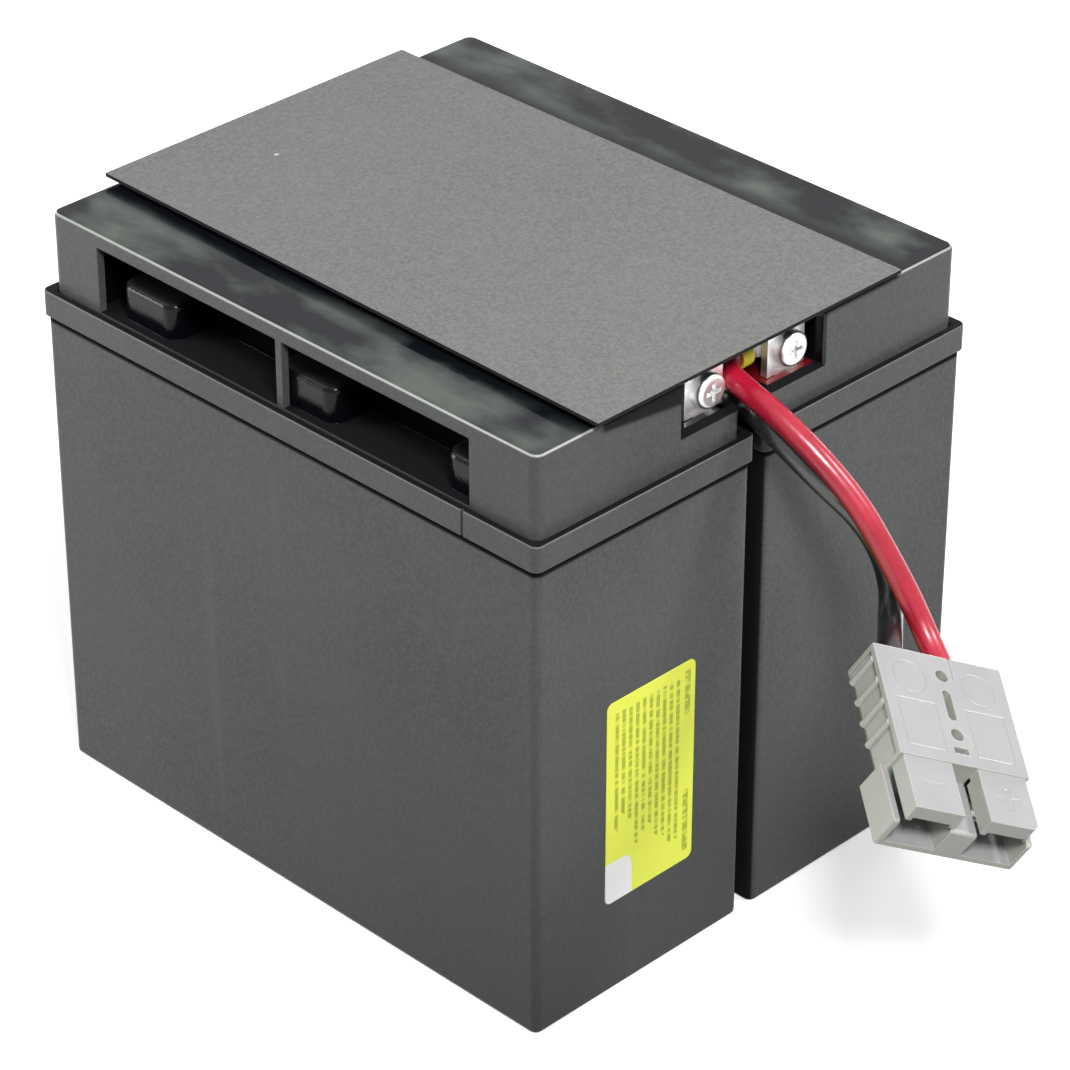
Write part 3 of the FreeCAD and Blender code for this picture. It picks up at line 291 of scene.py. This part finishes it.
def lid_smudges_and_reflections(f, beside, broad):
    """Finger marks on the lid's top, whose pattern also paints mottled reflections there; they fade
    out near the sheet, leaving a band of painted shade along it.
    """
    low, high = (Vector(corner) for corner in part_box("top_sheet"))
    # Half the sheet's width: close to the sheet the top is left dark, as painted shade.
    sheet_shade_edge = (high.y - low.y) / 2
    smudge_and_reflection = f.level(f.noise(0.024, 5.0, (1.0, 1.6, 1.0), 1.0), 0.42, 0.66)
    apart = f.maths("ADD", beside, f.level(broad, 0.3, 0.7, -2 * MM, 2 * MM))
    return f.maths("MULTIPLY", smudge_and_reflection, f.level(apart, sheet_shade_edge + 2 * MM, sheet_shade_edge + 8 * MM))


def lid_plastic():
    """The same plastic, satin at the sides, glossy with finger marks on top. Its top also carries
    painted reflections and its upper edges a painted highlight; painted shade makes it black
    inside, on its recess floors and under the sheet's end.
    """
    f = Finish("lid_plastic", (0.066, 0.069, 0.068), 0.38, IOR=1.5)
    high = Vector(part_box("near_lid")[1])
    top = f.facing_up()
    axis = f.axes()
    beside = f.maths("ABSOLUTE", axis["Y"])
    # Painted shade on the upward faces below the lid's top.
    ledge_shade = f.maths("MULTIPLY", top, f.maths("LESS_THAN", axis["Z"], high.z - LEDGE_DEPTH))
    # Painted shadow of the sheet's overhang on the lid's cable end.
    shadow = f.maths("MAXIMUM", ledge_shade, lid_sheet_shadow(f, axis, beside, top))
    # Painted shade: inside the lid, on its recess floors and under the sheet's end.
    dark = f.maths("MAXIMUM", lid_inside_shade(f, axis, beside), shadow)
    broad = f.noise(0.05, 3.0)
    grain = f.noise(PLASTIC_GRAIN, 3.0)
    tone = f.blend(f.level(broad, 0.35, 0.68), shade(f.colour, 0.82), shade(f.colour, 1.12))
    tone = f.blend(f.level(grain, 0.35, 0.65, 0.0, 0.5), tone, shade(f.colour, 1.5))
    smudge_and_reflection = lid_smudges_and_reflections(f, beside, broad)
    # The top's colour paints mottled reflections, and painted shade next to the sheet.
    top_painted_reflection = f.blend(smudge_and_reflection, (0.005, 0.006, 0.009), (0.082, 0.096, 0.084))
    tone = f.blend(top, tone, top_painted_reflection)
    # Painted highlight: the lid's upper edge roundings are coloured light grey.
    painted_edge_highlight = f.maths("MULTIPLY", f.upper_edges(), f.level(
        axis["Z"], high.z - LEDGE_DEPTH, high.z - LEDGE_DEPTH + 1 * MM, 0.35, 1.0,
    ))
    tone = f.blend(f.maths("MULTIPLY", painted_edge_highlight, 0.75), tone, (0.48, 0.49, 0.46))
    # Painted shade: these places are coloured near black.
    f.set("Base Color", f.blend(dark, tone, (0.0025, 0.0028, 0.004)))
    rough = f.level(smudge_and_reflection, 0.0, 1.0, 0.08, 0.28)
    rough = f.level(top, 0.0, 1.0, 0.40, rough)
    rough = f.level(painted_edge_highlight, 0.0, 1.0, rough, 0.22)
    rough = f.level(dark, 0.0, 1.0, rough, 0.16)
    f.set("Roughness", f.level(shadow, 0.0, 1.0, rough, 0.9))
    f.set("Specular IOR Level", 0.18)
    f.bump(
        (f.maths("MULTIPLY", grain, f.level(top, 0.0, 1.0, 1.0, 0.1)), 0.00005),
        (f.noise(0.03, 1.0), 0.0004), round_edges=0.0004,
    )
    return f.material


def sheet_plastic():
    """Stiff dark grey sheet with a fine matt grain, rubs and a few pale nicks."""
    f = Finish("sheet_plastic", (0.114, 0.116, 0.111), 0.50, IOR=1.5)
    upward = f.facing_up()
    f.set("Specular IOR Level", 0.3)
    broad = f.noise(0.08, 2.0)
    grain = f.noise(0.0008, 3.0)
    tone = f.blend(f.level(broad, 0.3, 0.7), shade(f.colour, 0.88), shade(f.colour, 1.10))
    tone = f.blend(f.level(grain, 0.35, 0.65, 0.0, 0.7), tone, shade(f.colour, 1.7))
    rubs = f.level(f.noise(0.006, 3.0, (1.0, 0.10, 1.0), 5.0), 0.68, 0.76, 0.0, 0.35)
    nicks = f.level(f.noise(0.0035, 1.0, (1.0, 0.45, 1.0), 9.0), 0.795, 0.82)
    tone = f.blend(rubs, tone, shade(f.colour, 1.6))
    tone = f.blend(nicks, tone, (0.6, 0.6, 0.58))
    # The sheet's upright cut edges are coloured near black, darker than its top.
    f.set("Base Color", f.blend(upward, (0.004, 0.004, 0.004), tone))
    f.set("Roughness", f.level(upward, 0.0, 1.0, 0.95, f.level(broad, 0.3, 0.7, 0.42, 0.54)))
    f.bump((grain, 0.00006), (f.noise(0.12, 1.0), 0.0010), round_edges=0.0003)
    return f.material


def foam():
    """Dark closed cell foam."""
    f = Finish("foam", (0.035, 0.036, 0.038), 0.95)
    cells = f.noise(0.0009, 3.0)
    f.set("Base Color", f.blend(cells, shade(f.colour, 0.6), shade(f.colour, 1.5)))
    f.bump((cells, 0.0002))
    return f.material


def plated(name, colour, roughness, brush=(1.0, 1.0, 12.0)):
    """Bright plated metal with a fine brushed grain and dull stains."""
    f = Finish(name, colour, roughness, Metallic=1.0)
    lines = f.noise(0.0016, 3.0, brush)
    stain = f.level(f.noise(0.004, 3.0, (1.0, 1.0, 1.0), 2.0), 0.50, 0.75)
    f.set("Base Color", f.blend(stain, colour, shade(colour, 0.80)))
    f.set("Roughness", f.level(stain, 0.0, 1.0, roughness * 0.9, roughness * 1.4))
    f.bump((lines, 0.00002), round_edges=0.00025)
    return f.material


def resin(name, colour):
    """Glossy poured resin with a rippled surface."""
    f = Finish(name, colour, 0.14, IOR=1.55)
    ripple = f.noise(0.005, 1.5)
    f.set("Base Color", f.blend(ripple, shade(colour, 0.7), shade(colour, 1.2)))
    f.bump((ripple, 0.0004))
    return f.material


def insulation(name, colour, bright, coat):
    """Glossy flexible sleeve of a cable."""
    f = Finish(name, colour, 0.30, IOR=1.5)
    f.set("Coat Weight", coat)
    f.set("Coat Roughness", 0.24)
    broad = f.noise(0.009, 2.0)
    f.set("Base Color", f.blend(f.level(broad, 0.3, 0.7), shade(colour, 0.92), bright))
    f.set("Roughness", f.level(broad, 0.3, 0.7, 0.26, 0.36))
    f.bump((f.noise(0.0035, 1.0), 0.00012), (f.noise(0.0003, 1.0), 0.000006))
    return f.material


def connector_marks(f):
    """1 on the fine raised marks of the connector: panel outlines, a minus and a plus."""
    own = f.add("ShaderNodeMapping", {
        "Vector": f.place, "Location": CONNECTOR_PLACE, "Rotation": CONNECTOR_TURN,
    }, vector_type="TEXTURE").outputs["Vector"]
    axis = f.add("ShaderNodeSeparateXYZ", {"Vector": own}).outputs
    along, across = axis["X"], axis["Y"]
    beside = f.maths("ABSOLUTE", across)

    def offset(value, centre):
        """Distance of a value from a centre."""
        return f.maths("ABSOLUTE", f.maths("SUBTRACT", value, centre * MM))

    def outer(first, first_half, second, second_half):
        """How far a point is outside a rectangle, negative inside."""
        return f.maths(
            "MAXIMUM", f.maths("SUBTRACT", first, first_half * MM),
            f.maths("SUBTRACT", second, second_half * MM),
        )

    def line(distance, half_width):
        """1 near distance nought, fading out."""
        return f.level(
            f.maths("ABSOLUTE", distance), half_width * MM, (half_width + 0.2) * MM, 1.0, 0.0,
        )

    def filled(distance):
        """1 inside, fading out at the edge."""
        return f.level(distance, -0.1 * MM, 0.1 * MM, 1.0, 0.0)

    to_ring = f.add("ShaderNodeCombineXYZ", {
        "X": offset(along, 8.4), "Y": offset(beside, 9.8), "Z": 0.0,
    }).outputs["Vector"]
    radius = f.add("ShaderNodeVectorMath", {0: to_ring}, operation="LENGTH").outputs["Value"]
    ring = line(f.maths("SUBTRACT", radius, 4.6 * MM), 0.12)
    panel = line(outer(offset(along, 22.4), 7.0, offset(beside, 9.8), 5.4), 0.12)
    minus = filled(outer(offset(along, 39.8), 0.55, offset(across, -10.6), 3.2))
    bar = outer(offset(along, 40.2), 0.7, offset(across, 10.6), 3.1)
    post = outer(offset(along, 40.2), 3.1, offset(across, 10.6), 0.7)
    plus = filled(f.maths("MINIMUM", bar, post))
    above = f.maths("GREATER_THAN", axis["Z"], 7.0 * MM)
    marks = f.maths("MAXIMUM", f.maths("MAXIMUM", ring, panel), f.maths("MAXIMUM", minus, plus))
    return f.maths("MULTIPLY", marks, above)


def connector_plastic():
    """Light grey moulded housing with faint grime; its upright faces are painted a lighter, warmer
    grey than its top, as painted light.
    """
    f = Finish("connector_plastic", (0.33, 0.325, 0.345), 0.42, IOR=1.5)
    broad = f.noise(0.012, 2.0)
    grain = f.noise(0.0005, 2.0)
    tone = f.blend(f.level(broad, 0.3, 0.7), shade(f.colour, 0.94), shade(f.colour, 1.04))
    # Painted light: upright faces get a lighter, warmer grey than level ones.
    tone = f.blend(f.facing_up(), (0.43, 0.44, 0.40), tone)
    grime = f.level(f.noise(0.004, 3.0, (1.0, 1.0, 1.0), 4.0), 0.62, 0.75, 0.0, 0.25)
    tone = f.blend(grime, tone, (0.40, 0.40, 0.36))
    # Painted highlight: the outside edges are coloured lighter.
    tone = f.blend(f.maths("MULTIPLY", f.edges(0.0006), 0.35), tone, (0.68, 0.68, 0.66))
    f.set("Base Color", tone)
    f.set("Roughness", f.level(broad, 0.3, 0.7, 0.34, 0.46))
    f.set("Subsurface Weight", 0.3)
    f.set("Subsurface Scale", 0.002)
    f.bump((grain, 0.000025), (connector_marks(f), 0.00012), round_edges=0.00035)
    return f.material


def rubber(name, colour):
    """Soft matt rubber or shrunk sleeve."""
    f = Finish(name, colour, 0.7)
    grain = f.noise(0.0012, 2.0)
    f.set("Base Color", f.blend(grain, shade(colour, 0.8), shade(colour, 1.25)))
    f.bump((grain, 0.00008), round_edges=0.0003)
    return f.material


def lead(name, colour, mesh_size):
    """Dull lead or pasted plate."""
    f = Finish(name, colour, 0.62, Metallic=0.35)
    grain = f.noise(mesh_size, 4.0)
    f.set("Base Color", f.blend(grain, shade(colour, 0.7), shade(colour, 1.3)))
    f.bump((grain, 0.00015))
    return f.material


def glass_mat():
    """White glass fibre mat."""
    f = Finish("glass_mat", (0.78, 0.78, 0.75), 0.9)
    fibres = f.noise(0.0008, 3.0, (1.0, 1.0, 0.2))
    f.set("Base Color", f.blend(fibres, shade(f.colour, 0.85), shade(f.colour, 1.1)))
    f.bump((fibres, 0.0001))
    return f.material


def label_print():
    """Yellow sticker with plain bars and a bare white corner."""
    low, high = (Vector(corner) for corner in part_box("end_label"))
    f = Finish("label_print", (0.87, 0.93, 0.11), 0.40, IOR=1.5)
    f.set("Specular IOR Level", 0.2)
    axis = f.axes()
    y = f.level(axis["Y"], low.y, high.y)
    z = f.level(axis["Z"], low.z, high.z)

    def between(value, start, end):
        """1 where a value lies between two others."""
        above = f.maths("GREATER_THAN", value, start)
        return f.maths("MULTIPLY", above, f.maths("LESS_THAN", value, end))

    rows = 13
    row = f.maths("MULTIPLY", y, rows)
    which = f.maths("FLOOR", row)
    in_row = between(f.maths("FRACT", row), 0.22, 0.72)
    ragged = f.add(
        "ShaderNodeTexWhiteNoise", {"W": which}, noise_dimensions="1D",
    ).outputs["Value"]
    start = f.maths("ADD", f.level(y, 0.1, 0.8, 0.38, 0.08), f.level(ragged, 0.0, 1.0, -0.04, 0.10))
    bars = f.maths("MULTIPLY", in_row, between(z, start, 0.94))
    bars = f.maths("MULTIPLY", bars, between(y, 0.07, 0.85))
    heading = f.maths("MULTIPLY", between(y, 0.885, 0.945), f.maths(
        "MAXIMUM", between(z, 0.74, 0.96), between(z, 0.05, 0.36),
    ))
    bars = f.maths("MAXIMUM", bars, heading)
    dashes = f.add("ShaderNodeCombineXYZ", {
        "X": f.maths("MULTIPLY", which, 7.3), "Y": f.maths("MULTIPLY", z, 42.0), "Z": 0.0,
    }).outputs["Vector"]
    breaks = f.add("ShaderNodeTexNoise", {"Vector": dashes, "Scale": 1.0, "Detail": 2.0})
    bars = f.maths("MULTIPLY", bars, f.level(breaks.outputs["Fac"], 0.36, 0.54, 0.15, 1.0))
    corner = f.maths(
        "ADD", f.maths("POWER", f.maths("DIVIDE", y, 0.30), 7.0),
        f.maths("POWER", f.maths("DIVIDE", z, 0.205), 7.0),
    )
    patch = f.maths("LESS_THAN", corner, 1.0)
    outside = f.maths("SUBTRACT", 1.0, patch)
    bars = f.maths("MULTIPLY", f.maths("MULTIPLY", bars, outside), 0.72)
    ink = f.blend(f.noise(0.0006, 1.0), (0.16, 0.17, 0.012), (0.40, 0.44, 0.03))
    tone = f.blend(f.noise(0.01, 2.0), shade(f.colour, 0.97), shade(f.colour, 1.03))
    tone = f.blend(bars, tone, ink)
    f.set("Base Color", f.blend(patch, tone, (0.95, 0.94, 0.93)))
    f.bump((f.noise(0.02, 1.0), 0.00015))
    return f.material


def paint(material, *nodes):
    """Gives CAD nodes a finish."""
    for name in nodes:
        slots = frame["nodes"][name].data.materials
        slots.clear()
        slots.append(material)


def paint_everything():
    """Every node's finish."""
    case = case_plastic()
    lid = lid_plastic()
    tin = plated("tin_plate", (0.93, 0.93, 0.92), 0.46)
    zinc = plated("zinc_plate", (0.84, 0.84, 0.83), 0.36, (8.0, 1.0, 1.0))
    silver = plated("silver_plate", (0.88, 0.87, 0.83), 0.24)
    spring = plated("spring_steel", (0.55, 0.55, 0.56), 0.30)
    red_resin = resin("red_resin", (0.15, 0.006, 0.008))
    black_resin = resin("black_resin", (0.012, 0.012, 0.014))
    soft = foam()
    cap = rubber("valve_rubber", (0.02, 0.02, 0.02))
    positive = lead("positive_plate", (0.10, 0.055, 0.04), 0.003)
    negative = lead("negative_plate", (0.24, 0.25, 0.26), 0.003)
    straps = lead("cast_lead", (0.34, 0.35, 0.37), 0.006)
    mat = glass_mat()
    for battery in ("near", "far"):
        paint(case, f"{battery}_container")
        paint(lid, f"{battery}_lid", f"{battery}_vent_cover")
        paint(cap, f"{battery}_valves")
        paint(positive, f"{battery}_positive_plates")
        paint(negative, f"{battery}_negative_plates")
        paint(mat, f"{battery}_separators")
        paint(straps, f"{battery}_cell_straps")
        paint(tin, f"{battery}_positive_terminal", f"{battery}_negative_terminal")
        paint(red_resin, f"{battery}_positive_resin")
        paint(black_resin, f"{battery}_negative_resin")
    paint(zinc, "terminal_screws", "terminal_washers", "terminal_nuts")
    paint(tin, "red_lug", "black_lug", "series_link")
    paint(rubber("yellow_sleeve", (0.84, 0.76, 0.06)), "red_lug_sleeve")
    paint(rubber("black_sleeve", (0.02, 0.02, 0.022)), "series_link_sleeve")
    paint(sheet_plastic(), "top_sheet")
    paint(soft, "sheet_tapes", "joining_pads")
    paint(label_print(), "end_label")
    paint(connector_plastic(), "connector_housing")
    paint(silver, "red_contact", "black_contact")
    paint(spring, "red_contact_spring", "black_contact_spring")


# ---- cables -----------------------------------------------------------------------------
def cable(name, route, finish):
    """A free cable on one smooth spline, from its lug into the connector."""
    curve = bpy.data.curves.new(f"{name}_lead", "CURVE")
    curve.dimensions = "3D"
    curve.resolution_u = 16
    curve.bevel_depth = CABLE_DIAMETER / 2
    curve.bevel_resolution = 10
    curve.use_fill_caps = True
    line = curve.splines.new("NURBS")
    line.points.add(len(route) - 1)
    for point, place in zip(line.points, route):
        point.co = (*(Vector(place) * MM), 1.0)
    line.order_u = 3
    line.use_endpoint_u = True
    line.use_smooth = True
    piece = bpy.data.objects.new(f"{name}_lead", curve)
    bpy.context.scene.collection.objects.link(piece)
    curve.materials.append(finish)
    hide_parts(f"{name}_cable")
    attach(piece, "root")


# ---- stage, light and camera ----------------------------------------------------------
def background_mask(tree):
    """1 for the rays that show the background: seen, mirrored and through glass."""
    path = tree.nodes.new("ShaderNodeLightPath")
    mask = path.outputs["Is Camera Ray"]
    for ray in ("Is Glossy Ray", "Is Transmission Ray"):
        either = tree.nodes.new("ShaderNodeMath")
        either.operation = "MAXIMUM"
        tree.links.new(mask, either.inputs[0])
        tree.links.new(path.outputs[ray], either.inputs[1])
        mask = either.outputs[0]
    return mask


def floor():
    """Plain white floor, which keeps a soft shadow and throws little light back."""
    half = FLOOR_SIZE / 2
    mesh = bpy.data.meshes.new("floor")
    corners = [(-half, -half, 0), (half, -half, 0), (half, half, 0), (-half, half, 0)]
    mesh.from_pydata(corners, [], [(0, 1, 2, 3)])
    plane = bpy.data.objects.new("floor", mesh)
    bpy.context.scene.collection.objects.link(plane)
    f = Finish("floor", (0.92, 0.92, 0.92), 1.0)
    seen = background_mask(f.tree)
    f.set("Base Color", f.blend(seen, (0.06, 0.06, 0.06), f.colour))
    f.set("Emission Color", (1.0, 1.0, 1.0, 1.0))
    away = f.add("ShaderNodeVectorMath", {0: f.place}, operation="LENGTH").outputs["Value"]
    glow = f.level(away, FLOOR_CENTRE, FLOOR_EDGE, 0.25, 0.85)
    f.set("Emission Strength", f.maths("MULTIPLY", seen, glow))
    f.set("Specular IOR Level", 0.0)
    mesh.materials.append(f.material)


def lamp(name, place, size, power):
    """Soft square lamp that looks at the object."""
    light = bpy.data.lights.new(name, "AREA")
    light.size = size
    light.energy = power
    made = bpy.data.objects.new(name, light)
    made.location = place
    made.rotation_euler = (Vector(LAMP_TARGET) - Vector(place)).to_track_quat("-Z", "Y").to_euler()
    bpy.context.scene.collection.objects.link(made)


def world():
    """Even light, with a white background for the camera and in reflections."""
    made = bpy.data.worlds.new("studio")
    bpy.context.scene.world = made
    made.use_nodes = True
    tree = made.node_tree
    background = tree.nodes["Background"]
    background.inputs["Color"].default_value = (1.0, 1.0, 1.0, 1.0)
    strength = tree.nodes.new("ShaderNodeMapRange")
    strength.inputs["To Min"].default_value = WORLD_LIGHT
    strength.inputs["To Max"].default_value = 1.0
    tree.links.new(background_mask(tree), strength.inputs["Value"])
    tree.links.new(strength.outputs["Result"], background.inputs["Strength"])


def camera():
    """Camera at the viewing angle that shows the long side, the cable end and the top."""
    made = bpy.data.objects.new("camera", bpy.data.cameras.new("camera"))
    made.data.sensor_width = 36.0
    made.data.lens = CAMERA_LENS
    made.data.clip_start = 0.01
    made.data.clip_end = 20.0
    made.location = CAMERA_PLACE
    turn = CAMERA_VIEW.to_track_quat("-Z", "Y")
    made.rotation_euler = (turn @ Quaternion((0, 0, 1), CAMERA_ROLL)).to_euler()
    bpy.context.scene.collection.objects.link(made)
    bpy.context.scene.camera = made


bpy.context.scene.view_settings.view_transform = "Standard"
camera()
cable("red", RED_ROUTE, insulation(
    "red_insulation", (0.39, 0.0045, 0.025), (0.46, 0.009, 0.037), 0.3,
))
cable("black", BLACK_ROUTE, insulation(
    "black_insulation", (0.006, 0.006, 0.007), (0.010, 0.010, 0.011), 0.8,
))
paint_everything()
floor()
world()
for lamp_name, lamp_place, lamp_size, lamp_power in LAMPS:
    lamp(lamp_name, lamp_place, lamp_size, lamp_power)
